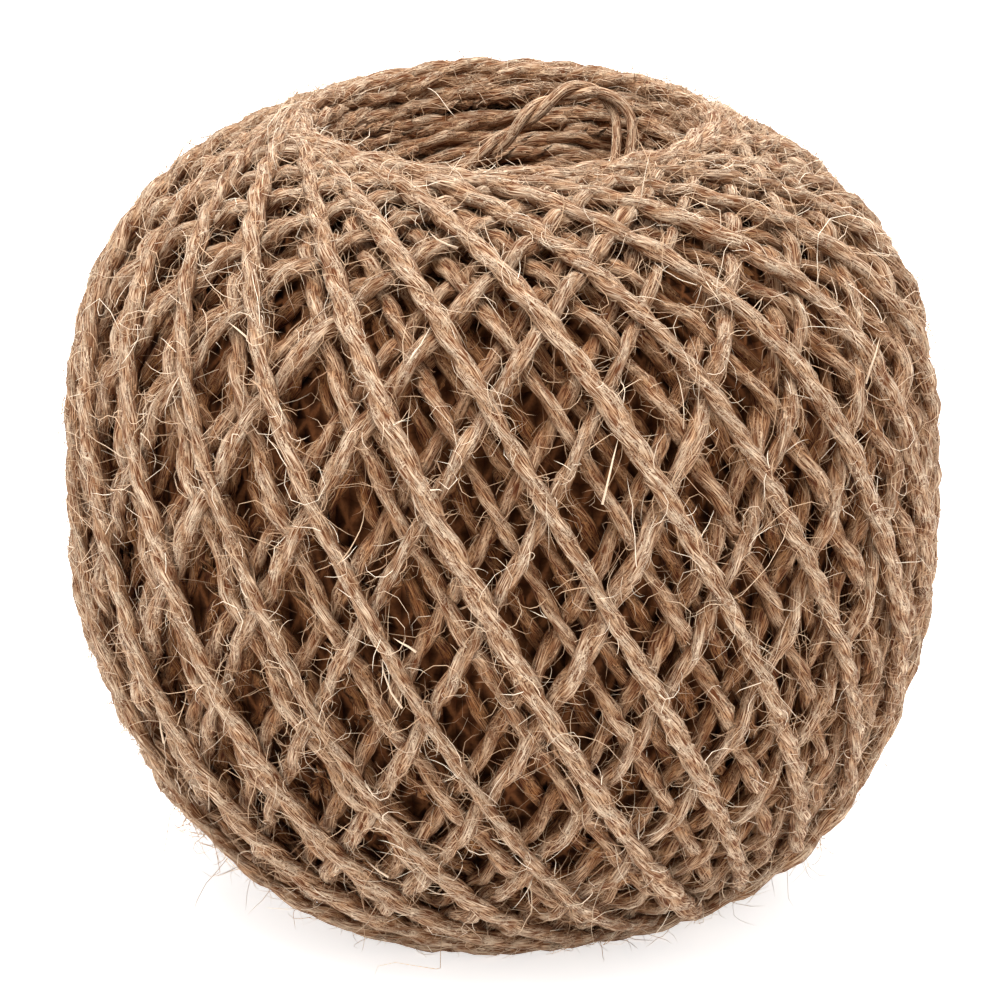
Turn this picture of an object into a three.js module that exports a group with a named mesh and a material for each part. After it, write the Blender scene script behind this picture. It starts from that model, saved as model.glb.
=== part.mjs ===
// A ball of jute twine, cross-wound round a spindle that has been drawn out.
// Millimetres, +Z up. The origin is on the surface that the ball stands on, under its middle.
// An angle of 0 is at the front, towards -Y, and 90 degrees is at the right, towards +X.

import * as THREE from "three";
import { mergeVertices } from "three/addons/utils/BufferGeometryUtils.js";

// Driving dimensions

const EQUATOR_RADIUS = 41; // to the outside of the top layer of turns
const EQUATOR_HEIGHT = 37.1; // above the surface, which flattens the lower rim a little
// The outline of each half, which would close on the axis at its rise. With both powers 2 it is an
// ellipse. A greater flank keeps the side upright for longer, a greater shoulder flattens the end.
const UPPER_HALF = { rise: 40.1, flank: 3.5, shoulder: 1.97 };
const LOWER_HALF = { rise: 38.6, flank: 1.8, shoulder: 3.6 };
const RIM_RADIUS = 18.8; // of the circle round each well that every turn touches

const TWINE_DIAMETER = 2;
const TURNS_ROUND = 24; // top turns that cross the equator, each way
const CLING = 0.95; // 1 keeps a turn on the shortest path round the ball, less lets it run straighter

const UNDER_DEPTH = 1.5; // of the turns that run the other way, below the top ones
const PIT_DEPTH = 2.4; // of the gaps between crossed turns
const EVEN_WITHIN = 40; // degrees of sweep from the equator in which the relief keeps its full depth
const LATTICE_SWEEP = 75; // degrees of sweep at which the crossed turns merge into the rim
const RIM_RELIEF = 0.3; // share of the relief that is left there at the upper rim
const PRESSED_SWEEP = 64; // degrees of sweep below the equator past which the turns lie pressed flat

const BORE_RADIUS = 6; // where the spindle was
const WALL_TURN_PITCH = 2.4; // between turns stacked on a well's wall, down the slope
const WALL_RELIEF = 0.8; // depth between those turns
const WALL_SIDES = 24;

const INNER_END_SIDES = 8;
const INNER_END_STEPS = 32;

const LINES_PER_PITCH = 2; // a crest and the dip after it
const LINES = TURNS_ROUND * LINES_PER_PITCH;
const DEGREES = Math.PI / 180;

// Outline of the ball

function halfAt(height) {
  return height > 0 ? UPPER_HALF : LOWER_HALF;
}

// Radius of the outline at a height above the equator.
function outlineRadius(height) {
  const { rise, flank, shoulder } = halfAt(height);
  const share = Math.min(1, Math.abs(height) / rise);
  return EQUATOR_RADIUS * Math.pow(1 - Math.pow(share, flank), 1 / shoulder);
}

// Height above the equator, or depth below it, at which the outline has the rim's radius.
function rimHeight({ rise, flank, shoulder }) {
  return rise * Math.pow(1 - Math.pow(RIM_RADIUS / EQUATOR_RADIUS, shoulder), 1 / flank);
}

// Sweep of a turn: how far round the axis it has gone at each height, counted from the equator.
// The sine of its angle to the meridian grows as the radius shrinks, and is 1 at the rim.
function sweepTable(top) {
  const steps = 4000;
  const rows = [{ height: 0, sweep: 0 }];
  for (let k = 1; k <= steps; k++) {
    const before = rows[k - 1];
    const height = (top * k) / steps;
    const radius = outlineRadius((height + before.height) / 2);
    const drop = outlineRadius(height) - outlineRadius(before.height);
    const length = Math.hypot(height - before.height, drop);
    const sine = Math.min(0.9999, Math.pow(RIM_RADIUS / radius, CLING));
    const tangent = sine / Math.sqrt(1 - sine * sine);
    rows.push({ height, sweep: before.sweep + ((tangent / radius) * length) / DEGREES });
  }
  return rows;
}

const UPPER_SWEEP = sweepTable(rimHeight(UPPER_HALF));
const LOWER_SWEEP = sweepTable(-rimHeight(LOWER_HALF));

// Height above the equator at which a turn has swept so many degrees, below it where they are negative.
function heightAtSweep(sweep) {
  const rows = sweep > 0 ? UPPER_SWEEP : LOWER_SWEEP;
  const goal = Math.abs(sweep);
  const k = rows.findIndex((row) => row.sweep >= goal);
  if (k < 1) return k === 0 ? 0 : rows[rows.length - 1].height;
  const part = (goal - rows[k - 1].sweep) / (rows[k].sweep - rows[k - 1].sweep);
  return THREE.MathUtils.lerp(rows[k - 1].height, rows[k].height, part);
}

// A point on the ball's side, some way in from the outline along its normal.
function sidePoint(angle, sweep, depth) {
  const height = heightAtSweep(sweep);
  const slope = (outlineRadius(height + 0.01) - outlineRadius(height - 0.01)) / 0.02;
  const out = new THREE.Vector2(1, -slope).normalize();
  const radius = outlineRadius(height) - depth * out.x;
  return pointAt(radius, angle, EQUATOR_HEIGHT + height - depth * out.y);
}

// A point from its radius, its angle in degrees and its height. The surface flattens what would pass it.
function pointAt(radius, angle, z) {
  const turn = angle * DEGREES;
  return new THREE.Vector3(radius * Math.sin(turn), -radius * Math.cos(turn), Math.max(0, z));
}

// Crossed turns on the side

// The angle of a line of the lattice, which is a crest or the dip half-way to the next one.
function lineAngle(line) {
  return (line * 360) / LINES;
}

function isCrest(line) {
  return line % LINES_PER_PITCH === 0;
}

// How much of the relief is left at a sweep: less towards the upper rim, and none on the flat spot.
function reliefShare(sweep) {
  if (sweep < 0) return 1 - THREE.MathUtils.smoothstep(-sweep, EVEN_WITHIN, PRESSED_SWEEP);
  const fade = THREE.MathUtils.smoothstep(sweep, EVEN_WITHIN, LATTICE_SWEEP);
  return THREE.MathUtils.lerp(1, RIM_RELIEF, fade);
}

// Top turns run down to the right, and the turns under them run up to the right.
function reliefDepth(upLine, downLine, sweep) {
  if (isCrest(downLine)) return 0;
  return reliefShare(sweep) * (isCrest(upLine) ? UNDER_DEPTH : PIT_DEPTH);
}

// Row k of the lattice holds the points whose down line is k lines on from their up line.
function latticeRow(k) {
  return Array.from({ length: LINES }, (unused, upLine) => {
    const downLine = upLine + k;
    const angle = (lineAngle(upLine) + lineAngle(downLine)) / 2;
    const sweep = (lineAngle(downLine) - lineAngle(upLine)) / 2;
    return sidePoint(angle, sweep, reliefDepth(upLine, downLine, sweep));
  });
}

// Wells

// The outline of a well's wall from its rim inwards, as radius and height above the equator.
function wallProfile(half) {
  const top = rimHeight(half);
  const rim = new THREE.Vector2(RIM_RADIUS, top);
  const mouth = new THREE.Vector2(RIM_RADIUS - TWINE_DIAMETER / 2, top - 0.35);
  const foot = new THREE.Vector2(BORE_RADIUS, (top * BORE_RADIUS) / RIM_RADIUS);
  const slope = foot.clone().sub(mouth);
  const outwards = new THREE.Vector2(-slope.y, slope.x).normalize();
  const turns = Math.floor(slope.length() / WALL_TURN_PITCH);
  const rings = [rim, mouth];
  for (let k = 0; k < turns; k++) {
    const dip = mouth.clone().addScaledVector(slope, (k + 0.5) / turns);
    rings.push(dip.addScaledVector(outwards, WALL_RELIEF));
    rings.push(mouth.clone().addScaledVector(slope, (k + 1) / turns));
  }
  return rings;
}

function wallRing(radius, height) {
  return Array.from({ length: WALL_SIDES }, (unused, k) =>
    pointAt(radius, (360 * k) / WALL_SIDES, EQUATOR_HEIGHT + height),
  );
}

// Surface

// Triangles between two rings of points that go round the same way, with any number of points each.
function stitch(lower, upper, faces) {
  const turnOf = (p) => (Math.atan2(p.x, -p.y) + 2 * Math.PI) % (2 * Math.PI);
  const sorted = (ring) => [...ring].sort((a, b) => turnOf(a) - turnOf(b));
  const a = sorted(lower);
  const b = sorted(upper);
  const angleOf = (ring, k) => turnOf(ring[k % ring.length]) + (k >= ring.length ? 2 * Math.PI : 0);
  let i = 0;
  let j = 0;
  while (i < a.length || j < b.length) {
    const lowerNext = i < a.length ? angleOf(a, i + 1) : Infinity;
    const upperNext = j < b.length ? angleOf(b, j + 1) : Infinity;
    const here = a[i % a.length];
    const above = b[j % b.length];
    if (lowerNext <= upperNext) {
      faces.push([here, a[(i + 1) % a.length], above]);
      i++;
    } else {
      faces.push([here, b[(j + 1) % b.length], above]);
      j++;
    }
  }
}

// Both triangles of each diamond of the lattice, and the half diamonds along its two edges.
function latticeFaces(rows, lowest, highest, faces) {
  const at = (k, upLine) => rows.get(k)[((upLine % LINES) + LINES) % LINES];
  for (let k = lowest; k <= highest; k++) {
    for (let upLine = 0; upLine < LINES; upLine++) {
      const left = at(k, upLine);
      const right = at(k, upLine + 1);
      if (k > lowest) faces.push([left, at(k - 1, upLine + 1), right]);
      if (k < highest) faces.push([left, right, at(k + 1, upLine)]);
    }
  }
}

function geometryOf(faces) {
  const positions = faces.flatMap((face) => face.flatMap((p) => [p.x, p.y, p.z]));
  const loose = new THREE.BufferGeometry();
  loose.setAttribute("position", new THREE.Float32BufferAttribute(positions, 3));
  const made = mergeVertices(loose, 1e-4);
  made.computeVertexNormals();
  return made;
}

function ballGeometry() {
  const half = Math.round((2 * LATTICE_SWEEP * TURNS_ROUND * LINES_PER_PITCH) / 360);
  const rows = new Map();
  for (let k = -half; k <= half; k++) rows.set(k, latticeRow(k));
  const faces = [];
  latticeFaces(rows, -half, half, faces);
  const down = wallProfile(UPPER_HALF).map((p) => wallRing(p.x, p.y));
  const up = wallProfile(LOWER_HALF).map((p) => wallRing(p.x, -p.y));
  const rings = [rows.get(half), ...down, ...up.reverse(), rows.get(-half)];
  for (let k = 1; k < rings.length; k++) stitch(rings[k - 1], rings[k], faces);
  return geometryOf(faces);
}

// Inner end: the start of the twine, which rises out of the well's wall in a loose arch and goes back in.

const INNER_END_ROUTE = [
  [-9.9, 4.6, 63.5],
  [-8.3, 5.2, 64.6],
  [-6.6, 5.8, 65.8],
  [-4.8, 6.3, 67],
  [-3, 6.7, 68.1],
  [-1.2, 7, 69.2],
  [0.5, 7.5, 70.5],
  [2.1, 8.1, 71.9],
  [4, 9.1, 73.2],
  [6.3, 10.2, 74],
  [8.6, 10.7, 73.9],
  [10.4, 10.1, 72.8],
  [11.2, 9.1, 71.6],
  [11.3, 8, 70.5],
  [11.2, 6.9, 69.4],
  [10.9, 5.8, 68],
  [10.4, 4.9, 66.1],
  [9.8, 4.3, 63.8],
  [8.9, 3.8, 61],
  [7.9, 3.5, 58.2],
];

function innerEndGeometry() {
  const route = new THREE.CatmullRomCurve3(
    INNER_END_ROUTE.map((point) => new THREE.Vector3(...point)),
    false,
    "centripetal",
  );
  const section = new THREE.Shape();
  for (let k = 0; k < INNER_END_SIDES; k++) {
    const turn = (2 * Math.PI * k) / INNER_END_SIDES;
    const x = (TWINE_DIAMETER / 2) * Math.cos(turn);
    const y = (TWINE_DIAMETER / 2) * Math.sin(turn);
    if (k === 0) section.moveTo(x, y);
    else section.lineTo(x, y);
  }
  section.closePath();
  return new THREE.ExtrudeGeometry(section, { steps: INNER_END_STEPS, extrudePath: route });
}

// The part

function piece(name, geometry, colour, roughness) {
  const material = new THREE.MeshStandardMaterial({ color: colour, roughness, metalness: 0 });
  const mesh = new THREE.Mesh(geometry, material);
  mesh.name = name;
  return mesh;
}

const twineBall = new THREE.Group();
twineBall.add(piece("ball", ballGeometry(), 0xb28f70, 0.92));
twineBall.add(piece("inner_end", innerEndGeometry(), 0xa98463, 0.92));

export default twineBall;
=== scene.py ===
import math

import bpy
import numpy as np
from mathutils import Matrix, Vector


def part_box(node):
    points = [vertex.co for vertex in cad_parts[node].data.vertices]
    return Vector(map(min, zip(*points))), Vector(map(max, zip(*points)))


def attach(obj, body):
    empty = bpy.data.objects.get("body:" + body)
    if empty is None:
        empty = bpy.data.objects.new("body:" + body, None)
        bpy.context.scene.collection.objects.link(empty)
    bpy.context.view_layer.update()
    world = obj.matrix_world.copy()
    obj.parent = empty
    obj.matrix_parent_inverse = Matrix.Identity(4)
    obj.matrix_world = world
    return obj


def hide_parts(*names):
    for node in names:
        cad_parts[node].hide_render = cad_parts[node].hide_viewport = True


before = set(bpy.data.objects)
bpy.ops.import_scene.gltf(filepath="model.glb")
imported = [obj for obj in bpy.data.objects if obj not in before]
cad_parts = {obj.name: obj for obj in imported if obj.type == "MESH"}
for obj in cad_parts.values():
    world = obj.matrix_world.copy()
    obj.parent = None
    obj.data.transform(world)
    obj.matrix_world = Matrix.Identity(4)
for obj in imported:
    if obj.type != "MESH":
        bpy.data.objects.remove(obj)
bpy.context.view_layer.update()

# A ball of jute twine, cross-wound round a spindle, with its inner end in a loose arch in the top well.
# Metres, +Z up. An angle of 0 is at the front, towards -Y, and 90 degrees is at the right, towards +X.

ballLow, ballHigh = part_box("ball")
rng = np.random.default_rng(7)
mm = 0.001

# The outline of each half is where it would close on the axis, and two powers. With both powers 2 it is an
# ellipse. A greater first one keeps the side upright for longer, a greater second one flattens the end.
winding = {
    "equatorHeight": 37.1 * mm,
    "upper": (40.1 * mm, 3.5, 1.97),
    "lower": (38.6 * mm, 1.8, 3.6),
    "outlineSteps": 6000,
    "rimRadius": 18.8 * mm,      # of the circle round each well that the turns touch
    "boreRadius": 6.0 * mm,      # left by the spindle
    "cling": 0.95,               # 1 keeps a turn on the shortest path round the ball
    "turnsPerRound": 23.53,      # turns until the winding has gone once round the ball
    "shiftAges": (23.5, 47, 50, 70.6, 73, 94),       # turns of these ages lie further round than
    "shifts": (0, 0.306, 0.85, 1.30, 1.84, 2.09),    # their count says, by these shares of a turn's room
    "growth": 1.25 * mm,         # thickness that one round adds
    "deepGrowth": 1.8 * mm,      # the same in the older turns, of which only the ends show
    "deepAge": 94,
    "outerEnd": -19.0,           # degrees of sweep at which the last turn ends, on its way down
    "levelAge": 6,               # of the turns that lie at the stated outline
    "sideways": 0.15 * mm,       # of the winding's middle, to the right
    "newestTurn": -91.8,         # degrees at which the last turn down crosses the equator
    "rimBlend": (40, 80),        # degrees of sweep where the side's way gives over to the rim's
    "weave": 0.48 * mm,          # how far a turn rises over one that it crosses
    "weaveTop": 0.8,             # share of it by which a turn with nothing over it rises
    "rimSpread": 0.014,          # share of the way to the rim that a turn may turn back early
    "wander": 0.25 * mm,         # how far a turn strays sideways
    "oldWander": 1.5,            # share by which the older turns stray more
    "lift": 0.12 * mm,           # how far a turn strays in or out
    "wallLift": 0.35 * mm,       # the same on the walls of the wells
    "endDive": 2.2 * mm,         # of the outer end, under its neighbours
    "endSamples": 14,            # of the path, in which it goes down
    "samples": 160,              # of the path, from one rim to the other
}
twine = {
    "diameter": 1.85 * mm,
    "plyRadius": 0.66 * mm,
    "plyOffset": 0.24 * mm,      # from the middle of the twine to the middle of a ply
    "pitch": 9.0 * mm,           # length in which the plies go once round each other
    "pitchChange": 0.10,         # share by which that changes along it
    "unevenness": 0.08,          # share by which the thickness changes along it
    "waves": ((1, 30 * mm), (0.8, 6 * mm), (0.4, 2.5 * mm)),     # shares of that, and their lengths
    "roughness": 0.045,          # share by which the thickness changes from one side to the next
    "endSize": 0.25,             # of the thickness, at both ends
    "shadeFrom": 1.1 * mm,       # depth below the outline from which painted shade darkens its colour
    "shadeDepth": 3.6 * mm,      # further down, to where the painted shade is deepest
    "creaseShade": 0.35,         # how much darker painted shade makes it between the plies,
    "underShade": 0.35,          # on its underside,
    "cavityShade": 0.70,         # where it is deepest,
    "innerShade": 0.05,          # and in the older turns on the walls of the wells
    "wallSweep": (50, 75),       # degrees of sweep where the side's painted shade gives over to the wall's
    "fibreTurn": -0.45,          # sideways drift of the fibres on the plies, per length
}

equatorRadius = (ballHigh[0] - ballLow[0]) / 2
stepAngle = 360 / winding["turnsPerRound"]
rimSweep = (360 - stepAngle) / 4


# Path of the winding

# Outline from the equator to the rim: arc length, radius, height and sweep at each of its steps.
def halfOutline(rise, flank, shoulder):
    t = np.linspace(0, math.pi / 2, winding["outlineSteps"] + 1)
    radius = equatorRadius * np.cos(t) ** (2 / shoulder)
    height = rise * np.sin(t) ** (2 / flank)
    keep = radius >= winding["rimRadius"]
    radius, height = radius[keep], height[keep]
    steps = np.hypot(np.diff(radius), np.diff(height))
    arc = np.concatenate([[0], np.cumsum(steps)])
    middle = (radius[1:] + radius[:-1]) / 2
    sine = np.minimum(0.9999, (winding["rimRadius"] / middle) ** winding["cling"])
    sweep = np.degrees(np.cumsum(sine / np.sqrt(1 - sine ** 2) / middle * steps))
    sweep = np.concatenate([[0], sweep])
    share = sweep / sweep[-1]
    sweep = sweep + (rimSweep - sweep[-1]) * share ** 6   # the last bit closes on the rim
    return {"arc": arc, "radius": radius, "height": height, "sweep": sweep}


upperHalf = halfOutline(*winding["upper"])
lowerHalf = halfOutline(*winding["lower"])


# Radius, height above the equator and outward normal at each sweep. A turn may turn back early at the rims.
def outlineAt(sweep, keepTop, keepBottom):
    out = []
    for half, keep in ((upperHalf, keepTop), (lowerHalf, keepBottom)):
        arc = np.interp(np.abs(sweep), half["sweep"], half["arc"]) * keep
        radius = np.interp(arc, half["arc"], half["radius"])
        height = np.interp(arc, half["arc"], half["height"])
        slopeR = np.interp(arc, half["arc"], np.gradient(half["radius"], half["arc"]))
        slopeZ = np.interp(arc, half["arc"], np.gradient(half["height"], half["arc"]))
        out.append((radius, height, slopeZ, -slopeR))
    up, down = out
    above = sweep >= 0
    radius = np.where(above, up[0], down[0])
    height = np.where(above, up[1], -down[1])
    normalR = np.where(above, up[2], down[2])
    normalZ = np.where(above, up[3], -down[3])
    size = np.hypot(normalR, normalZ)
    return radius, height, normalR / size, normalZ / size


# 0 up to the first of two limits, 1 from the second, and even between them.
def blend(value, limits):
    return np.clip((value - limits[0]) / (limits[1] - limits[0]), 0, 1)


# Smooth random values, one for each point, that change over about so many points.
def drift(count, every):
    knots = rng.normal(size=count // every + 4)
    x = np.arange(count) / every
    k = np.floor(x).astype(int)
    f = x - k
    a, b, c, d = knots[k], knots[k + 1], knots[k + 2], knots[k + 3]
    w = 1 - f
    value = a * w ** 3 + b * (3 * f ** 3 - 6 * f ** 2 + 4) + c * (3 * w ** 3 - 6 * w ** 2 + 4) + d * f ** 3
    return value / 6 * 1.6                                 # 1.6 makes up for what the smoothing takes away


# Age of the newest turn at the rim there. It runs evenly round the rim, and eases where it starts again.
def rimAge(angle, sweep):
    newestTouch = winding["newestTurn"] + np.where(sweep > 0, -rimSweep, rimSweep + stepAngle)
    share = ((angle - newestTouch) / 360) % 1
    return np.interp(share, [0, 0.08, 0.92, 1], [0.5, 0.08, 0.92, 0.5]) * winding["turnsPerRound"]


# Middle line of the twine through some turns, the oldest first. Age 0 is the newest turn.
def windingPath(oldest, newest, samplesPerHalf=winding["samples"]):
    ages = np.arange(oldest, newest - 1, -1)
    f = np.linspace(-1, 1, samplesPerHalf, endpoint=False) * rimSweep
    sweep = np.tile(np.concatenate([f, -f]), len(ages))
    along = np.tile(np.linspace(0, 1, 2 * samplesPerHalf, endpoint=False), len(ages))
    age = np.repeat(ages, 2 * samplesPerHalf) + 0.0
    down = np.tile(np.repeat([False, True], samplesPerHalf), len(ages))
    shift = np.interp(age, winding["shiftAges"], winding["shifts"])
    ownStep = stepAngle * (1 + np.interp(age + 1, winding["shiftAges"], winding["shifts"]) - shift)
    downLine = winding["newestTurn"] + (age + shift) * stepAngle
    angle = np.where(down, downLine - sweep, downLine - 2 * rimSweep + sweep)
    count = len(age)

    spread = 1 - winding["rimSpread"] * rng.random(len(ages) + 1) ** 1.3
    keepTop = np.repeat(spread[:-1], 2 * samplesPerHalf)
    low = 1 - winding["rimSpread"] * rng.random(len(ages) + 1) ** 1.3
    first, last = np.repeat(low[:-1], samplesPerHalf), np.repeat(low[1:], samplesPerHalf)
    keepBottom = np.stack([first.reshape(-1, samplesPerHalf), last.reshape(-1, samplesPerHalf)], 1).ravel()

    radius, height, normalR, normalZ = outlineAt(sweep, keepTop, keepBottom)
    nearRim = blend(np.abs(sweep), winding["rimBlend"])
    level = rimAge(angle, sweep) * nearRim + winding["levelAge"] * (1 - nearRim)
    shownAge = np.minimum(age - along, winding["deepAge"])
    deepAge = np.maximum(age - along - winding["deepAge"], 0)
    built = winding["growth"] * (shownAge - level) + winding["deepGrowth"] * deepAge
    depth = twine["diameter"] / 2 + built / winding["turnsPerRound"]
    scale = 1 - (depth + winding["weave"] * winding["weaveTop"] * (1 - nearRim)) / equatorRadius
    toOther = np.where(down, 360 - 2 * rimSweep + 2 * sweep, 2 * rimSweep - 2 * sweep) / ownStep
    covered = np.clip((age - toOther) / 2 + 0.5, 0, 1)      # by a newer turn that runs the other way
    crossing = np.cos(np.radians((2 * rimSweep - 2 * sweep) * 360 / ownStep)) * np.where(down, 1, -1)
    onTop = winding["weaveTop"] + (1 - winding["weaveTop"]) * crossing
    rise = winding["weave"] * (covered * crossing + (1 - covered) * onTop) * (1 - 0.8 * nearRim)
    rise = rise + winding["lift"] * drift(count, 14) * (1 + 0.6 * nearRim)
    loose = blend(age, (14, 28)) * nearRim                 # inner turns lie less evenly on the walls
    rise = rise + winding["wallLift"] * loose * (drift(count, 40) + 0.6 * drift(count, 110))
    perTurn = np.repeat(rng.normal(size=len(ages)), 2 * samplesPerHalf)
    stray = winding["wander"] * (0.7 * drift(count, 60) + 0.4 * drift(count, 16) + 0.5 * perTurn)
    stray = stray * (1 + winding["oldWander"] * blend(age, (22, 28)))
    angle = angle + np.degrees(stray / radius) * (1 - nearRim)

    if newest == 0:                                        # the outer end dives under its neighbours
        last = np.flatnonzero((age == 0) & down & (sweep < winding["outerEnd"]))[0]
        samples = winding["endSamples"]
        rise[last - samples:last] -= winding["endDive"] * np.linspace(0, 1, samples) ** 2
    else:
        last = count
    sunk = (1 - scale) * equatorRadius - rise
    turn = np.radians(angle)
    r = radius * scale + rise * normalR
    z = height * scale + rise * normalZ + winding["equatorHeight"]
    points = np.stack([r * np.sin(turn) + winding["sideways"], -r * np.cos(turn), z], 1)
    normals = np.stack([normalR * np.sin(turn), -normalR * np.cos(turn), normalZ], 1)
    return points[:last], normals[:last], (age - along)[:last], sweep[:last], sunk[:last]


# The same line with points a set distance apart.
def resample(line, step):
    points = line[0]
    length = np.concatenate([[0], np.cumsum(np.linalg.norm(np.diff(points, axis=0), axis=1))])
    count = max(4, int(length[-1] / step))
    goal = np.linspace(0, length[-1], count)
    out = []
    for values in line:
        if values.ndim == 1:
            out.append(np.interp(goal, length, values))
        else:
            out.append(np.stack([np.interp(goal, length, values[:, k]) for k in range(3)], 1))
    return out, goal


# Directions along, outward and sideways at each point of a line.
def frameOf(points, normals):
    along = np.gradient(points, axis=0)
    along /= np.linalg.norm(along, axis=1)[:, None]
    outward = normals - along * np.sum(normals * along, 1)[:, None]
    outward /= np.linalg.norm(outward, axis=1)[:, None]
    return along, outward, np.cross(along, outward)


# Section of the twine, two plies side by side: its points, how far into the crease, and the way round.
def twineSection(perPly):
    a, b = twine["plyRadius"], twine["plyOffset"]
    edge = math.acos(-b / a)                       # where the two plies meet
    turns = np.linspace(-edge, edge, perPly + 1)[:-1]
    x = b + a * np.cos(turns)
    y = a * np.sin(turns)
    x, y = np.concatenate([x, -x]), np.concatenate([y, -y])
    crease = np.tile(np.clip(np.abs(turns) / edge, 0, 1) ** 3, 2)
    around = np.concatenate([turns, turns + 2 * edge]) * a
    return x, y, crease, around


# A mesh object from arrays, with its strand map and its colour values.
def meshObject(name, vertices, faces, uv, values, material):
    mesh = bpy.data.meshes.new(name)
    sides = faces.shape[1]
    mesh.vertices.add(len(vertices))
    mesh.vertices.foreach_set("co", vertices.astype(np.float32).ravel())
    mesh.loops.add(faces.size)
    mesh.loops.foreach_set("vertex_index", faces.astype(np.int32).ravel())
    mesh.polygons.add(len(faces))
    mesh.polygons.foreach_set("loop_start", np.arange(0, faces.size, sides, dtype=np.int32))
    mesh.update(calc_edges=True)
    mesh.polygons.foreach_set("use_smooth", np.ones(len(faces), dtype=bool))
    if uv is not None:
        layer = mesh.uv_layers.new(name="strand")
        layer.data.foreach_set("uv", uv.astype(np.float32).ravel())
    for key, value in values.items():
        made = mesh.attributes.new(key, "FLOAT", "POINT")
        made.data.foreach_set("value", value.astype(np.float32))
    mesh.validate()
    mesh.materials.append(material)
    piece = bpy.data.objects.new(name, mesh)
    bpy.context.scene.collection.objects.link(piece)
    return piece


# Twine swept along a line, as arrays: vertices, quads, strand map and the painted shade for its colour.
def sweepTwine(line, step, perPly, startLength=0.0):
    (points, normals, age, sweep, sunk), length = resample(line, step)
    outward, side = frameOf(points, normals)[1:]
    x, y, crease, around = twineSection(perPly)
    rings, sides = len(points), len(x)
    length = length + startLength
    pitch = 1 + twine["pitchChange"] * drift(rings, int(twine["waves"][0][1] / step))
    twist = -2 * math.pi * np.cumsum(pitch * step) / twine["pitch"]
    size = np.ones(rings)
    for share, wave in twine["waves"]:
        size *= 1 + share * twine["unevenness"] * drift(rings, max(2, int(wave / step)))
    size[0] = size[-1] = twine["endSize"]
    c, s = np.cos(twist)[:, None], np.sin(twist)[:, None]
    rough = size[:, None] * (1 + twine["roughness"] * rng.normal(size=(rings, sides)))
    across = rough * (x * c - y * s)
    over = rough * (x * s + y * c)
    facing = across / np.hypot(across, over)
    # Painted shade: darker between the plies, on the underside, deep below the outline and on the older
    # turns of the walls.
    under = np.clip((0.45 - facing) / 1.1, 0, 1)   # from 0 outside to 1 inside
    under = twine["underShade"] * under * under * (3 - 2 * under)
    inner = blend(age / winding["turnsPerRound"], (0.4, 3))[:, None]
    wall = blend(np.abs(sweep), twine["wallSweep"])[:, None]
    cavity = np.clip((sunk[:, None] - across - twine["shadeFrom"]) / twine["shadeDepth"], 0, 1) ** 0.85
    onWall = (1 - under) * (1 - twine["innerShade"] * inner)
    onSide = (1 - under) * (1 - twine["cavityShade"] * cavity)
    # share of the colour that the painted shade leaves
    light = (1 - twine["creaseShade"] * crease) * (wall * onWall + (1 - wall) * onSide)
    ringPoints = points[:, None] + across[..., None] * outward[:, None] + over[..., None] * side[:, None]
    ringPoints[..., 2] = np.maximum(ringPoints[..., 2], 0.0)      # flat where it stands

    k = np.arange(sides)
    start = np.arange(rings - 1)[:, None] * sides
    a, b = start + k, start + (k + 1) % sides
    quads = np.stack([a, b, b + sides, a + sides], -1).reshape(-1, 4)
    aroundNext = np.append(around[1:], around[0] + 2 * (around[sides // 2] - around[0]))
    u0 = np.broadcast_to(length[:-1, None], a.shape)
    u1 = np.broadcast_to(length[1:, None], a.shape)
    v0, v1 = np.broadcast_to(around, a.shape), np.broadcast_to(aroundNext, a.shape)
    back = twine["fibreTurn"]                      # the fibres turn back against the plies
    uv = np.stack([u0, v0 + back * u0, u0, v1 + back * u0, u1, v1 + back * u1, u1, v0 + back * u1], -1)
    uv = uv.reshape(-1, 2) / twine["diameter"]
    values = {"shade": 1 - light.ravel()}
    return ringPoints.reshape(-1, 3), quads, uv, values


# Quads that close both ends of a swept twine.
def endCaps(rings, sides):
    caps = []
    for first, flip in ((0, True), ((rings - 1) * sides, False)):
        for k in range(sides // 2 - 1):
            quad = [first + k, first + k + 1, first + sides - 2 - k, first + sides - 1 - k]
            caps.append(quad[::-1] if flip else quad)
    return np.array(caps)


# One piece from several swept lengths of twine, with their ends closed.
def twineObject(name, lengths, perPly):
    vertices, faces, maps, shades, offset = [], [], [], [], 0
    sides = 2 * perPly
    for points, quads, uv, values in lengths:
        caps = endCaps(len(points) // sides, sides)
        vertices.append(points)
        faces.append(np.concatenate([quads, caps]) + offset)
        maps.append(np.concatenate([uv, np.zeros((caps.size, 2))]))
        shades.append(values["shade"])
        offset += len(points)
    faces, shades = np.concatenate(faces), {"shade": np.concatenate(shades)}
    piece = meshObject(name, np.concatenate(vertices), faces, np.concatenate(maps), shades, juteTwine)
    print(name, offset, "vertices", 2 * len(faces), "triangles")
    return piece


def twinePiece(name, oldest, newest, step, perPly):
    line = windingPath(oldest, newest)
    return twineObject(name, [sweepTwine(line, step, perPly)], perPly), line


# Materials

def newGroup(name, inputs, outputs):
    group = bpy.data.node_groups.new(name, "ShaderNodeTree")
    for label, kind, value in inputs:
        made = group.interface.new_socket(label, in_out="INPUT", socket_type=kind)
        made.default_value = value
    for label, kind in outputs:
        group.interface.new_socket(label, in_out="OUTPUT", socket_type=kind)
    return group, group.nodes.new("NodeGroupInput"), group.nodes.new("NodeGroupOutput")


fibrePattern = {                 # noise cells for each diameter of the twine, along and round a ply
    "fine": (1.0, 14, 1),
    "coarse": (0.6, 4.5, 1),
    "blotch": (0.25, 0.7, 1),
    "gather": (1.3, 1.9, 1),     # where the stray fibres are
    "strayCurled": (2.4, 3.4, 1),
    "strayLong": (1.3, 5.0, 1),
    "crossing": (1.6, 3.2, 1),   # dark lines across the fibres
    "crossingGather": (0.9, 1.4, 1),
}
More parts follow.
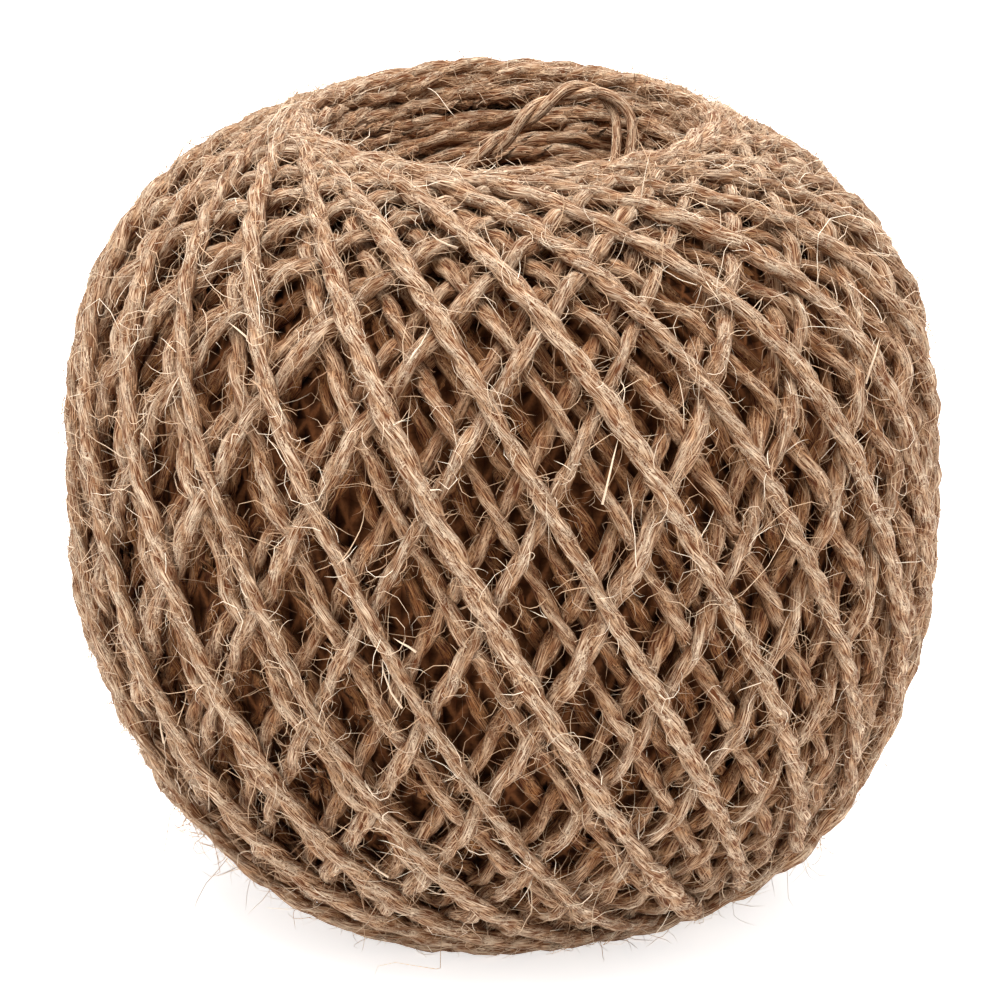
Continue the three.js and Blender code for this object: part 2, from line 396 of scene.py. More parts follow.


# Fibres that run along the plies: a colour from three tones, darkened twice with the painted shade tint as
# far as Shade says, and a height.
def fibreGroup():
    group, given, result = newGroup(
        "juteFibre",
        [
            ("ShadeTint", "NodeSocketColor", (0.5, 0.3, 0.1, 1)),
            ("Shadow", "NodeSocketColor", (0.1, 0.05, 0.02, 1)),
            ("Body", "NodeSocketColor", (0.4, 0.25, 0.15, 1)),
            ("Straw", "NodeSocketColor", (0.8, 0.6, 0.4, 1)),
            ("Shade", "NodeSocketFloat", 0.0),
        ],
        [("Color", "NodeSocketColor"), ("Height", "NodeSocketFloat")],
    )
    nodes, links = group.nodes, group.links
    uv = nodes.new("ShaderNodeUVMap")
    uv.uv_map = "strand"

    def feed(socket, value):
        if isinstance(value, bpy.types.NodeSocket):
            links.new(value, socket)
        else:
            socket.default_value = value

    def stretched(kind, detail, roughness, distortion=0.0):
        mapping = nodes.new("ShaderNodeMapping")
        mapping.inputs["Scale"].default_value = fibrePattern[kind]
        noise = nodes.new("ShaderNodeTexNoise")
        noise.inputs["Scale"].default_value = 1.0
        noise.inputs["Detail"].default_value = detail
        noise.inputs["Roughness"].default_value = roughness
        noise.inputs["Distortion"].default_value = distortion
        links.new(uv.outputs["UV"], mapping.inputs["Vector"])
        links.new(mapping.outputs["Vector"], noise.inputs["Vector"])
        return noise.outputs["Fac"]

    def ramp(factor, low, high):
        node = nodes.new("ShaderNodeMapRange")
        node.inputs["From Min"].default_value = low
        node.inputs["From Max"].default_value = high
        links.new(factor, node.inputs["Value"])
        return node.outputs["Result"]

    def mixed(factor, first, second, blend="MIX"):
        node = nodes.new("ShaderNodeMix")
        node.data_type = "RGBA"
        node.blend_type = blend
        feed(node.inputs[0], factor)
        feed(node.inputs[6], first)
        feed(node.inputs[7], second)
        return node.outputs[2]

    def maths(kind, first, second):
        node = nodes.new("ShaderNodeMath")
        node.operation = kind
        feed(node.inputs[0], first)
        feed(node.inputs[1], second)
        return node.outputs[0]

    # A thin line wherever a noise passes its middle value: stray fibres that lie across the others.
    def strayLines(kind, distortion, width):
        fac = stretched(kind, 1, 0.5, distortion)
        away = maths("ABSOLUTE", maths("SUBTRACT", fac, 0.5), 0.0)
        return ramp(away, width, width * 0.3)

    def share(factor, most):
        return maths("MULTIPLY", factor, most)

    fine = stretched("fine", 1, 0.6, 0.3)
    coarse = stretched("coarse", 2, 0.55, 0.4)
    blotch = stretched("blotch", 2, 0.5)
    stray = maths("MAXIMUM", strayLines("strayCurled", 2.2, 0.045), strayLines("strayLong", 1.6, 0.06))
    gather = ramp(stretched("gather", 1, 0.5), 0.42, 0.58)
    pale = share(ramp(fine, 0.53, 0.60), ramp(coarse, 0.38, 0.56))
    crossing = strayLines("crossing", 1.8, 0.03)
    crossing = share(crossing, ramp(stretched("crossingGather", 1, 0.5), 0.45, 0.6))
    stray = share(share(stray, gather), 0.9)

    deep, shadow, straw = (given.outputs[tone] for tone in ("ShadeTint", "Shadow", "Straw"))
    body = mixed(share(ramp(blotch, 0.38, 0.66), 0.30), given.outputs["Body"], straw)
    body = mixed(share(ramp(fine, 0.49, 0.42), 0.95), body, shadow)
    body = mixed(share(ramp(coarse, 0.46, 0.36), 0.45), body, shadow)
    body = mixed(share(crossing, 0.8), body, shadow)
    body = mixed(share(pale, 0.85), body, straw)
    body = mixed(stray, body, straw)
    # Painted shade: the colour multiplied twice by the shade tint, as far as Shade says.
    for _ in range(2):
        body = mixed(given.outputs["Shade"], body, deep, "MULTIPLY")
    height = maths("ADD", share(fine, 0.5), share(coarse, 0.8))
    height = maths("ADD", height, share(stray, 0.35))
    links.new(body, result.inputs["Color"])
    links.new(height, result.inputs["Height"])
    return group


juteFibre = fibreGroup()

twineLook = {
    # The first colour is the tint of the painted shade.
    "ShadeTint": (0.62, 0.365, 0.135, 1),
    "Shadow": (0.090, 0.023, 0.003, 1),
    "Body": (0.265, 0.151, 0.082, 1),
    "Straw": (0.62, 0.468, 0.330, 1),
    "roughness": 0.9,
    "specular": 0.2,
    "bump": 1.0,
    "fibreHeight": 0.3 * mm,
}
hairLook = {                     # colours at shares of the tone
    "tones": ((0.0, (0.20, 0.090, 0.040, 1)), (0.6, (0.50, 0.33, 0.20, 1)), (1.0, (0.92, 0.78, 0.61, 1))),
    "roughness": 0.6,
    "specular": 0.3,
}


def newMaterial(name, look):
    material = bpy.data.materials.new(name)
    material.use_nodes = True
    shader = material.node_tree.nodes["Principled BSDF"]
    shader.inputs["Roughness"].default_value = look["roughness"]
    shader.inputs["Specular IOR Level"].default_value = look["specular"]
    return material, shader, material.node_tree.nodes, material.node_tree.links


# Jute twine: fibre colour and bump, with painted shade where the shade value says, which grows inwards.
def twineMaterial():
    material, shader, nodes, links = newMaterial("juteTwine", twineLook)
    group = nodes.new("ShaderNodeGroup")
    group.node_tree = juteFibre
    for tone in ("ShadeTint", "Shadow", "Body", "Straw"):
        group.inputs[tone].default_value = twineLook[tone]
    shade = nodes.new("ShaderNodeAttribute")
    shade.attribute_name = "shade"
    links.new(shade.outputs["Fac"], group.inputs["Shade"])
    bump = nodes.new("ShaderNodeBump")
    bump.inputs["Strength"].default_value = twineLook["bump"]
    bump.inputs["Distance"].default_value = twineLook["fibreHeight"]
    links.new(group.outputs["Height"], bump.inputs["Height"])
    links.new(group.outputs["Color"], shader.inputs["Base Color"])
    links.new(bump.outputs["Normal"], shader.inputs["Normal"])
    return material


# A colour ramp from tones at their places, the first at the start.
def toneRamp(nodes, tones):
    ramp = nodes.new("ShaderNodeValToRGB")
    elements = ramp.color_ramp.elements
    elements[0].color = tones[0][1]
    elements[1].position, elements[1].color = tones[-1]
    for place, colour in tones[1:-1]:
        elements.new(place).color = colour
    return ramp


def hairMaterial():
    material, shader, nodes, links = newMaterial("looseFibres", hairLook)
    tone = nodes.new("ShaderNodeAttribute")
    tone.attribute_name = "tone"
    ramp = toneRamp(nodes, hairLook["tones"])
    links.new(tone.outputs["Fac"], ramp.inputs["Fac"])
    links.new(ramp.outputs["Color"], shader.inputs["Base Color"])
    return material


juteTwine = twineMaterial()
fibreMaterial = hairMaterial()


# Turns

rounds = [                       # name, oldest and newest turn, step along the twine, points round a ply
    ("outer_turns_new", 12, 0, 0.9 * mm, 5),
    ("outer_turns_old", 24, 13, 0.9 * mm, 5),
    ("under_turns", 47, 25, 1.3 * mm, 4),
    ("inner_turns", 94, 48, 2.0 * mm, 3),
]
turnPieces, turnLines = {}, {}
for name, oldest, newest, step, perPly in rounds:
    piece, line = twinePiece(name, oldest, newest, step, perPly)
    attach(piece, "root")
    turnPieces[name], turnLines[name] = piece, line
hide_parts("ball")


# Wound body under the turns, and the turns stacked on the walls of the wells

wellTurns = {
    "scale": 0.885,              # of the body's outline to the ball's
    "steps": 96,                 # round the axis
    "outlinePoints": 14,         # of the body, from the equator to a rim
    "wallGap": 0.6 * mm,         # that the body keeps from the turns on the walls, at the rim
    "boreGap": 2.2 * mm,         # and at the bore
    "wallDepth": 0.88,           # of the body's wall, as a share of the well's height there
    "lines": 94,                 # strands that show on the body, each way round it
    "ages": (365, 95),           # oldest and newest of the turns that show on the walls of the wells alone
    "samples": 80,               # of their path, from one rim to the other
    "arcSweep": 52,              # degrees from the equator past which such a turn is modelled
    "shortest": 12,              # samples that such a stretch has at least
    "step": 2.0 * mm,
    "boreTurns": 14,
    "boreSamples": 60,           # a turn
    "borePitch": 1.75 * mm,
    "boreStray": 0.2 * mm,
}
bodyLook = {
    # Dark jute tones, darkest between the strands: painted shade of the deep layers.
    "tones": ((0.0, (0.035, 0.0095, 0.0025, 1)), (0.6, (0.13, 0.047, 0.017, 1))),
    "strandWidth": 0.45,         # as a share of the space between strands
    "grain": 2600,               # of the noise, in cells a metre
    "relief": 1.2 * mm,
    "roughness": 0.95,
    "specular": 0.05,
}


# A map on the body that counts the turns crossed in each of the two directions.
def mapLattice(body):
    mesh = body.data
    corners = np.empty(len(mesh.loops), dtype=np.int32)
    mesh.loops.foreach_get("vertex_index", corners)
    place = np.array([vertex.co for vertex in mesh.vertices])
    sidesOf = [polygon.loop_total for polygon in mesh.polygons]
    middles = np.repeat([polygon.center for polygon in mesh.polygons], sidesOf, axis=0)
    height = (place[:, 2] - winding["equatorHeight"]) / wellTurns["scale"]
    above = np.interp(height, upperHalf["height"], upperHalf["sweep"])
    below = np.interp(-height, lowerHalf["height"], lowerHalf["sweep"])
    sweep = np.where(height > 0, above, -below)[corners]
    middleAngle = np.degrees(np.arctan2(middles[:, 0], -middles[:, 1]))
    angle = np.degrees(np.arctan2(place[:, 0], -place[:, 1]))[corners]
    angle = middleAngle + (angle - middleAngle + 180) % 360 - 180
    crossed = np.stack([angle + sweep, angle - sweep], 1) * wellTurns["lines"] / 360
    crossed[np.hypot(middles[:, 0], middles[:, 1]) < winding["rimRadius"] * wellTurns["scale"]] = 0
    layer = mesh.uv_layers.new(name="lattice")
    layer.data.foreach_set("uv", crossed.astype(np.float32).ravel())


# Two crossing sets of strands: a mask that is 1 on them and 0 between.
def latticeGroup():
    group, given, result = newGroup(
        "crossedStrands",
        [("Width", "NodeSocketFloat", 0.5)],
        [("Mask", "NodeSocketFloat")],
    )
    nodes, links = group.nodes, group.links
    uv = nodes.new("ShaderNodeUVMap")
    uv.uv_map = "lattice"
    jitter = nodes.new("ShaderNodeTexNoise")
    jitter.inputs["Scale"].default_value = 0.7
    jitter.inputs["Detail"].default_value = 2
    links.new(uv.outputs["UV"], jitter.inputs["Vector"])
    moved = nodes.new("ShaderNodeVectorMath")
    moved.operation = "MULTIPLY_ADD"
    moved.inputs[1].default_value = (0.45, 0.45, 0)
    links.new(jitter.outputs["Color"], moved.inputs[0])
    links.new(uv.outputs["UV"], moved.inputs[2])
    split = nodes.new("ShaderNodeSeparateXYZ")
    links.new(moved.outputs[0], split.inputs[0])
    ridges = []
    for axis in ("X", "Y"):
        wave = nodes.new("ShaderNodeMath")
        wave.operation = "PINGPONG"
        wave.inputs[1].default_value = 0.5
        links.new(split.outputs[axis], wave.inputs[0])
        ridge = nodes.new("ShaderNodeMapRange")
        ridge.interpolation_type = "SMOOTHSTEP"
        links.new(wave.outputs[0], ridge.inputs["Value"])
        links.new(given.outputs["Width"], ridge.inputs["From Max"])
        ridges.append(ridge)
    both = nodes.new("ShaderNodeMath")
    both.operation = "MAXIMUM"
    links.new(ridges[0].outputs["Result"], both.inputs[0])
    links.new(ridges[1].outputs["Result"], both.inputs[1])
    links.new(both.outputs[0], result.inputs["Mask"])
    return group


def bodyMaterial():
    material, shader, nodes, links = newMaterial("woundBody", bodyLook)
    strands = nodes.new("ShaderNodeGroup")
    strands.node_tree = latticeGroup()
    strands.inputs["Width"].default_value = bodyLook["strandWidth"]
    where = nodes.new("ShaderNodeTexCoord")
    noise = nodes.new("ShaderNodeTexNoise")
    noise.inputs["Scale"].default_value = bodyLook["grain"]
    noise.inputs["Detail"].default_value = 3
    links.new(where.outputs["Object"], noise.inputs["Vector"])
    # The gaps between the strands take the darkest tone, painted shade.
    tone = nodes.new("ShaderNodeMath")
    tone.operation = "MULTIPLY"
    links.new(strands.outputs["Mask"], tone.inputs[0])
    links.new(noise.outputs["Fac"], tone.inputs[1])
    ramp = toneRamp(nodes, bodyLook["tones"])
    bump = nodes.new("ShaderNodeBump")
    bump.inputs["Distance"].default_value = bodyLook["relief"]
    links.new(tone.outputs[0], ramp.inputs["Fac"])
    links.new(ramp.outputs["Color"], shader.inputs["Base Color"])
    links.new(strands.outputs["Mask"], bump.inputs["Height"])
    links.new(bump.outputs["Normal"], shader.inputs["Normal"])
    return material


def woundBody():
    s = wellTurns["scale"]
    profile = []
    for half, sign in ((upperHalf, 1), (lowerHalf, -1)):
        picks = np.linspace(0, len(half["arc"]) - 1, wellTurns["outlinePoints"]).astype(int)
        side = [(half["radius"][k] * s, sign * half["height"][k] * s) for k in picks]
        side.append((side[-1][0] - wellTurns["wallGap"], side[-1][1] * wellTurns["wallDepth"]))
        foot = winding["boreRadius"] + wellTurns["boreGap"]
        side.append((foot, side[-1][1] * foot / side[-1][0] * wellTurns["wallDepth"]))
        profile.append(side)
    outline = profile[0] + profile[1][::-1][:-1]
    bpy.ops.object.select_all(action="DESELECT")
    bpy.ops.mesh.primitive_circle_add(vertices=len(outline), radius=0.01)
    body = bpy.context.object
    body.name = body.data.name = "wound_body"
    for vertex, (radius, height) in zip(body.data.vertices, outline):
        vertex.co = (radius, 0, height + winding["equatorHeight"])
    bpy.ops.object.mode_set(mode="EDIT")
    bpy.ops.mesh.select_all(action="SELECT")
    bpy.ops.mesh.spin(steps=wellTurns["steps"], angle=2 * math.pi, center=(0, 0, 0), axis=(0, 0, 1))
    bpy.ops.mesh.select_all(action="SELECT")
    bpy.ops.mesh.remove_doubles(threshold=1e-6)
    bpy.ops.mesh.normals_make_consistent(inside=False)
    bpy.ops.object.mode_set(mode="OBJECT")
    bpy.ops.object.shade_smooth()
    mapLattice(body)
    body.data.materials.append(bodyMaterial())
    print("wound body", len(body.data.vertices), "vertices")
    return body


# Only the stretches near the two rims of the turns too deep to show anywhere else.
def wellArcs(name, perPly):
    points, normals, age, sweep, sunk = windingPath(*wellTurns["ages"], wellTurns["samples"])
    near = np.abs(sweep) > wellTurns["arcSweep"]
    starts = np.flatnonzero(near & ~np.roll(near, 1))
    ends = np.flatnonzero(near & ~np.roll(near, -1)) + 1
    if ends[0] < starts[0]:
        ends = ends[1:]
    parts = []
    for start, end in zip(starts, ends):
        if end - start < wellTurns["shortest"]:
            continue
        line = [values[start:end] for values in (points, normals, age, sweep, sunk)]
        parts.append(sweepTwine(line, wellTurns["step"], perPly, startLength=rng.random()))
    return twineObject(name, parts, perPly)


# The first turns, which went straight on to the spindle and line the bore between the wells.
def boreTurns(name, perPly):
    turns = wellTurns["boreTurns"]
    count = turns * wellTurns["boreSamples"]
    turn = np.linspace(0, 2 * math.pi * turns, count)
    radius = winding["boreRadius"] + twine["diameter"] / 2 + wellTurns["boreStray"] * drift(count, 25)
    z = winding["equatorHeight"] + wellTurns["borePitch"] * turns * np.linspace(-0.5, 0.5, count)
    inward = np.stack([-np.sin(turn), np.cos(turn), np.zeros(count)], 1)
    points = -inward * radius[:, None] + np.array([0, 0, 1]) * z[:, None]
    age, sweep = np.full(count, float(wellTurns["ages"][0])), np.full(count, 90.0)
    line = (points, inward, age, sweep, np.zeros(count))
    return twineObject(name, [sweepTwine(line, wellTurns["step"], perPly)], perPly)


for piece in (woundBody(), wellArcs("well_turns", 3), boreTurns("bore_turns", 3)):
    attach(piece, "root")


# Inner end: the start of the twine, in a loose arch in the top well. Its plies part on the right.

innerEnd = {
    "route": [                   # millimetres
        (-9.9, 4.6, 63.5), (-8.3, 5.2, 64.6), (-6.6, 5.8, 65.8), (-4.8, 6.3, 67), (-3, 6.7, 68.1),
        (-1.2, 7, 69.2), (0.5, 7.5, 70.5), (2.1, 8.1, 71.9), (4, 9.1, 73.2), (6.3, 10.2, 74),
        (8.6, 10.7, 73.9), (10.4, 10.1, 72.8), (11.2, 9.1, 71.6), (11.3, 8, 70.5), (11.2, 6.9, 69.4),
        (10.9, 5.8, 68), (10.4, 4.9, 66.1), (9.8, 4.3, 63.8), (8.9, 3.8, 61), (7.9, 3.5, 58.2),
    ],
    "plyRadius": 0.54 * mm,
    "plyOffset": 0.40 * mm,
    "partedOffset": 0.72 * mm,   # of the plies where they part
    "parted": ((0.52, 0.64), (0.9, 0.8)),    # shares of the length between which they part and meet again
    "untwist": 0.75,             # share of the twist that they lose there
    "startTwist": 0.4,           # radians
    "unevenness": 0.10,
    "endSize": 0.3,
    "shade": (0.12, 0.8),        # darker all over by this, and by this more as painted shade between the plies
    "samples": 400,
    "step": 0.35 * mm,
    "sides": 10,
}


# A smooth line through some points.
def smoothRoute(route, count):
    knots = np.array(route) * mm
    knots = np.concatenate([[2 * knots[0] - knots[1]], knots, [2 * knots[-1] - knots[-2]]])
    x = np.linspace(0, len(route) - 1.000001, count)
    k = np.floor(x).astype(int)
    f = (x - k)[:, None]
    a, b, c, d = knots[k], knots[k + 1], knots[k + 2], knots[k + 3]
    square, cube = 2 * a - 5 * b + 4 * c - d, 3 * b - a - 3 * c + d
    return 0.5 * (2 * b + (c - a) * f + square * f ** 2 + cube * f ** 3)


def innerEndPiece():
    line = smoothRoute(innerEnd["route"], innerEnd["samples"])
    ahead = np.tile([0.0, -1.0, 0.35], (len(line), 1))
    (points, normals), length = resample((line, ahead), innerEnd["step"])
    outward, side = frameOf(points, normals)[1:]
    share = length / length[-1]
    part, meet = innerEnd["parted"]
    parted = blend(share, part) * blend(share, meet)
    offset = innerEnd["plyOffset"] + (innerEnd["partedOffset"] - innerEnd["plyOffset"]) * parted
    twist = -2 * math.pi * np.cumsum(1 - innerEnd["untwist"] * parted) * innerEnd["step"] / twine["pitch"]
    twist = twist + innerEnd["startTwist"]
    rings, sides = len(points), innerEnd["sides"]
    turns = np.linspace(0, 2 * math.pi, sides, endpoint=False)
    vertices, faces, uv, crease = [], [], [], []
    for ply in (0, 1):
        angle = twist + ply * math.pi
        up, across = (offset * np.cos(angle))[:, None], (offset * np.sin(angle))[:, None]
        middle = points + outward * up + side * across
        size = innerEnd["plyRadius"] * (1 + innerEnd["unevenness"] * drift(rings, 9))
        size[0] = size[-1] = innerEnd["plyRadius"] * innerEnd["endSize"]
        ring = np.cos(turns)[:, None] * outward[:, None] + np.sin(turns)[:, None] * side[:, None]
        made = middle[:, None] + ring * size[:, None, None]
        start = np.arange(rings - 1)[:, None] * sides
        k = np.arange(sides)
        a, b = start + k, start + (k + 1) % sides
        quads = np.stack([a, b, b + sides, a + sides], -1).reshape(-1, 4)
        caps = endCaps(rings, sides)
        faces.append(np.concatenate([quads, caps]) + ply * rings * sides)
        vertices.append(made.reshape(-1, 3))
        v = np.arange(sides) * 2 * math.pi * innerEnd["plyRadius"] / sides + ply * 0.02
        v0, v1 = np.broadcast_to(v, a.shape), np.broadcast_to(v + v[1] - v[0], a.shape)
        u0, u1 = np.broadcast_to(length[:-1, None], a.shape), np.broadcast_to(length[1:, None], a.shape)
        flat = np.stack([u0, v0, u0, v1, u1, v1, u1, v0], -1).reshape(-1, 2) / twine["diameter"]
        uv.append(np.concatenate([flat, np.zeros((caps.size, 2))]))
        # Painted shade on each ply where it faces the other, less where the plies part.
        facing = np.cos(turns[None, :] - angle[:, None] - math.pi)
        crease.append((np.clip(facing, 0, 1) ** 2 * (0.7 - 0.4 * parted[:, None])).ravel())
    allOver, between = innerEnd["shade"]
    values = {"shade": allOver + between * np.concatenate(crease)}
    vertices, faces = np.concatenate(vertices), np.concatenate(faces)
    piece = meshObject("inner_end_twine", vertices, faces, np.concatenate(uv), values, juteTwine)
    return piece, points, length


endPiece, endPoints, endLength = innerEndPiece()
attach(endPiece, "root")
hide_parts("inner_end")
print("inner end", round(float(endLength[-1]) * 1000, 1), "mm")


# Loose fibres

fuzz = {
    "kinds": {                   # share, segments, mean length, lean out, curl, bend back and radius
        "curled": (0.81, 4, 3.1 * mm, 0.28, 640, 170, 0.034 * mm),
        "standing": (0.10, 3, 1.4 * mm, 0.5, 500, 0, 0.032 * mm),
        "long": (0.07, 7, 5.2 * mm, 0.32, 420, 150, 0.035 * mm),
    },
    "rootRadius": 0.72 * mm,     # from the middle of the twine
    "wobble": 0.14,              # change of direction at each joint
    "taper": 0.5,
    "tone": (0.57, 0.20),        # mean and spread, from 0 for dark to 1 for pale
    "paintedShadeTone": 0.25,            # how much painted shade darkens them deep below the outline
    "deep": (1 * mm, 4 * mm),    # where that starts, and where it is reached
    "oldAge": 40,
    "wallSweep": 50,             # older turns past this many degrees line the top well, and carry
    "wallFuzz": 5,               # so many times as many fibres
    "crowdSweep": 58,            # newer turns past this crowd at the rims, and carry
    "rimFuzz": 0.5,              # this share
    "floorHeight": 9 * mm,       # turns lower down than this carry
    "floorFuzz": 0.4,            # this share
    "perPiece": {                # how many, and on which turns
        "fuzz_new": (8600, "outer_turns_new"),
        "fuzz_old": (8600, "outer_turns_old"),
        "fuzz_under": (8600, "under_turns"),
        "fuzz_inner": (2500, "inner_turns"),
    },
}
slivers = {
    "placed": [                  # angle, height in mm, lean to the left, lean outwards and length in mm
        (12.5, 49.5, -12, 6, 6.2), (-36, 60.5, 35, 10, 4.0), (57, 55, -20, 8, 4.5), (-18, 12, 60, 5, 3.5),
        (-8, 69.5, 70, 10, 3.0),
    ],
    "scattered": 10,
    "sunk": 1.3 * mm,            # how far below the outline they start
    "tone": 0.74,
    "radius": 0.13 * mm,
}


def unit(vectors):
    return vectors / (np.linalg.norm(vectors, axis=-1)[..., None] + 1e-12)


# Thin tapering tubes of three sides, closed at both ends.
def fibreTubes(root, direction, bend, length, tone, radius, segments):
    count = len(root)
    points, heading = [root], unit(direction)
    step = (length / segments)[:, None]
    for k in range(segments):
        points.append(points[-1] + heading * step)
        wobble = rng.normal(size=heading.shape) * fuzz["wobble"]
        heading = unit(heading + np.cross(bend, heading) * step + wobble)
    points = np.stack(points, 1)
    points[..., 2] = np.maximum(points[..., 2], 1e-4)
    along = unit(np.gradient(points, axis=1))
    pick = np.where(np.abs(along[:, :1, 2:]) < 0.8, [[[0.0, 0, 1]]], [[[1.0, 0, 0]]])
    side = unit(np.cross(along, np.broadcast_to(pick, along.shape)))
    up = np.cross(along, side)
    taper = np.linspace(1, fuzz["taper"], segments + 1)[:-1]
    thick = radius[:, None, None] * taper[None, :, None]
    turns = 2 * math.pi * np.arange(3) / 3
    rings = [points[:, :-1] + (math.cos(a) * side - math.sin(a) * up)[:, :-1] * thick for a in turns]
    body = np.stack(rings, 2).reshape(count, -1, 3)
    vertices = np.concatenate([body, points[:, -1:]], 1)
    each = vertices.shape[1]
    faces = [[0, 1, 2]]
    for s in range(segments - 1):
        for k in range(3):
            a, b = s * 3 + k, s * 3 + (k + 1) % 3
            faces += [[a, a + 3, b + 3], [a, b + 3, b]]
    for k in range(3):
        a, b = (segments - 1) * 3 + k, (segments - 1) * 3 + (k + 1) % 3
        faces.append([a, each - 1, b])
    faces = np.array(faces)[None] + (np.arange(count) * each)[:, None, None]
    return vertices.reshape(-1, 3), faces.reshape(-1, 3), np.repeat(tone, each)


# Fibres of one kind on some turns: where they leave the twine, which way, and how they curl.
def fibresOn(line, count, kind):
    share, segments, meanLength, lean, curl, dip, radius = fuzz["kinds"][kind]
    points, normals, age, sweep, sunk = line
    along, outward, side = frameOf(points, normals)
    count = int(count * share)
    weight = np.linalg.norm(np.gradient(points, axis=0), axis=1)
    old = age > fuzz["oldAge"]
    weight = weight * np.where(old & (sweep > fuzz["wallSweep"]), fuzz["wallFuzz"], 1)
    weight = weight * np.where(~old & (np.abs(sweep) > fuzz["crowdSweep"]), fuzz["rimFuzz"], 1)
    weight = weight * np.where(points[:, 2] < fuzz["floorHeight"], fuzz["floorFuzz"], 1)
    pick = rng.choice(len(points), size=count, p=weight / weight.sum())
    turn = (rng.random((count, 1)) * 2 - 1) * 1.9
    out = outward[pick] * np.cos(turn) + side[pick] * np.sin(turn)
    across = np.cross(along[pick], out)
    root = points[pick] + along[pick] * (rng.random((count, 1)) - 0.5) * 0.8 * mm + out * fuzz["rootRadius"]
    heading = rng.normal(size=(count, 1)) * 0.9
    sense = np.where(rng.random((count, 1)) < 0.5, 1, -1)
    direction = (along[pick] * np.cos(heading) + across * np.sin(heading)) * sense
    direction = unit(direction + out * lean * np.abs(rng.normal(1, 0.5, (count, 1))))
    length = meanLength * rng.lognormal(-0.1, 0.45, count)
    bend = outward[pick] * np.clip(rng.normal(size=(count, 1)), -1.5, 1.5) * curl
    bend = bend - np.cross(direction, out) * dip * np.abs(rng.normal(1, 0.6, (count, 1)))
    # Fibres deep below the outline get painted shade.
    tone = rng.normal(*fuzz["tone"], count) - fuzz["paintedShadeTone"] * blend(sunk[pick], fuzz["deep"])
    tone = np.clip(tone, 0, 1)
    thick = radius * rng.lognormal(0, 0.22, count)
    return fibreTubes(root, direction, bend, length, tone, thick, segments)


def joined(parts):
    vertices, faces, values, offset = [], [], [], 0
    for part in parts:
        vertices.append(part[0])
        faces.append(part[1] + offset)
        values.append(part[2])
        offset += len(part[0])
    return np.concatenate(vertices), np.concatenate(faces), np.concatenate(values)


# Flat slivers of stalk, pale and stiff, that stick out of the twine here and there.
def strawSlivers():
    angle, height, tilt, turn, length = np.array(slivers["placed"]).T
    extra = slivers["scattered"]
    angle = np.concatenate([angle, rng.uniform(0, 360, extra)])
    height = np.concatenate([height, rng.uniform(8, 66, extra)]) * mm
    tilt = np.radians(np.concatenate([tilt, rng.normal(20, 25, extra)]))
    turn = np.radians(np.concatenate([turn, rng.normal(8, 8, extra)]))
    length = np.concatenate([length, rng.uniform(2.5, 5.5, extra)]) * mm
    upper = np.interp(height - winding["equatorHeight"], upperHalf["height"], upperHalf["radius"])
    lower = np.interp(winding["equatorHeight"] - height, lowerHalf["height"], lowerHalf["radius"])
    radius = np.where(height > winding["equatorHeight"], upper, lower) - slivers["sunk"]
    a = np.radians(angle)
    out = np.stack([np.sin(a), -np.cos(a), np.zeros(len(a))], 1)
    right = np.stack([np.cos(a), np.sin(a), np.zeros(len(a))], 1)
    foot = out * radius[:, None] + np.array([0, 0, 1]) * height[:, None]
    upward = np.array([0, 0, 1]) * np.cos(tilt)[:, None] - right * np.sin(tilt)[:, None]
    heading = unit(upward * np.cos(turn)[:, None] + out * np.sin(turn)[:, None])
    thick = np.full(len(a), slivers["radius"])
    return fibreTubes(foot, heading, np.zeros_like(out), length, np.full(len(a), slivers["tone"]), thick, 3)


def fuzzPiece(name, count, line):
    parts = [fibresOn(line, count, kind) for kind in fuzz["kinds"]]
    if name == "fuzz_new":
        parts.append(strawSlivers())
    vertices, faces, tones = joined(parts)
    piece = meshObject(name, vertices, faces, None, {"tone": tones}, fibreMaterial)
    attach(piece, "root")
    print(name, len(faces), "triangles")


for name, (count, source) in fuzz["perPiece"].items():
    fuzzPiece(name, count, turnLines[source])


# Floor, light and camera

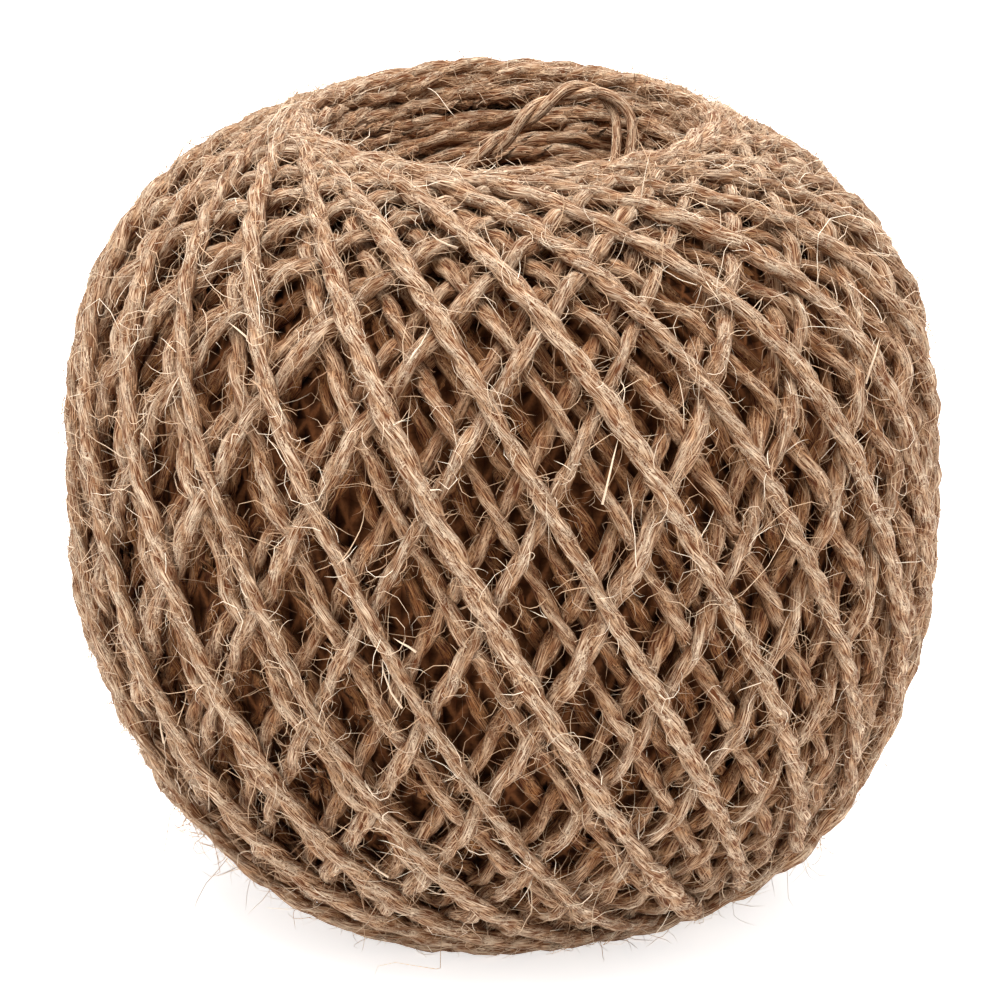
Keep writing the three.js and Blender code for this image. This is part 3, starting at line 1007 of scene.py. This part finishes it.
studio = {
    "floor": 0.85,
    "floorGlow": 0.62,           # which keeps the ball's shadow on it faint
    "world": 1.13,               # strength of the white light from all sides
    "elevation": 18.36,          # degrees
    "distance": 12,              # in radii of the ball
    "picture": 1000,             # pixels wide
    "focal": 5240,               # pixels
    "aimPixel": (503.3, 500.4),  # where the middle of the equator shows in that picture
    "lamps": (                   # place, diameter and power
        ((-0.08, -0.15, 0.8), 0.6, 11),
        ((0.1, 0.5, 0.5), 0.5, 4),
    ),
}


def addFloor():
    bpy.ops.object.select_all(action="DESELECT")
    bpy.ops.mesh.primitive_plane_add(size=3.0, location=(0, 0, 0))
    floor = bpy.context.object
    floor.name = "floor"
    material = bpy.data.materials.new("paleFloor")
    material.use_nodes = True
    shader = material.node_tree.nodes["Principled BSDF"]
    shader.inputs["Base Color"].default_value = (studio["floor"],) * 3 + (1,)
    shader.inputs["Roughness"].default_value = 0.9
    shader.inputs["Emission Color"].default_value = (1, 1, 1, 1)
    shader.inputs["Emission Strength"].default_value = studio["floorGlow"]
    floor.data.materials.append(material)


def areaLight(place, size, power):
    bpy.ops.object.light_add(type="AREA", location=place)
    lamp = bpy.context.object
    lamp.data.shape = "DISK"
    lamp.data.size = size
    lamp.data.energy = power
    toBall = np.array([0, 0, winding["equatorHeight"]]) - np.array(place)
    direction = toBall / np.linalg.norm(toBall)
    lamp.rotation_euler = (
        math.atan2(math.hypot(direction[0], direction[1]), -direction[2]),
        0,
        math.atan2(-direction[0], direction[1]),
    )


def addCamera():
    distance = studio["distance"] * equatorRadius
    lift = math.radians(studio["elevation"])
    place = (0, -distance * math.cos(lift), winding["equatorHeight"] + distance * math.sin(lift))
    bpy.ops.object.camera_add(location=place, rotation=(math.pi / 2 - lift, 0, 0))
    camera = bpy.context.object
    picture = studio["picture"]
    camera.data.lens = studio["focal"] / picture * camera.data.sensor_width
    camera.data.shift_x = 0.5 - studio["aimPixel"][0] / picture
    camera.data.shift_y = studio["aimPixel"][1] / picture - 0.5
    bpy.context.scene.camera = camera


def addWorld():
    world = bpy.data.worlds.new("studio")
    world.use_nodes = True
    background = world.node_tree.nodes["Background"]
    background.inputs["Color"].default_value = (1, 1, 1, 1)
    background.inputs["Strength"].default_value = studio["world"]
    bpy.context.scene.world = world


addFloor()
for place, size, power in studio["lamps"]:
    areaLight(place, size, power)
addCamera()
addWorld()
bpy.context.scene.view_settings.view_transform = "Standard"
print("floor, light and camera")
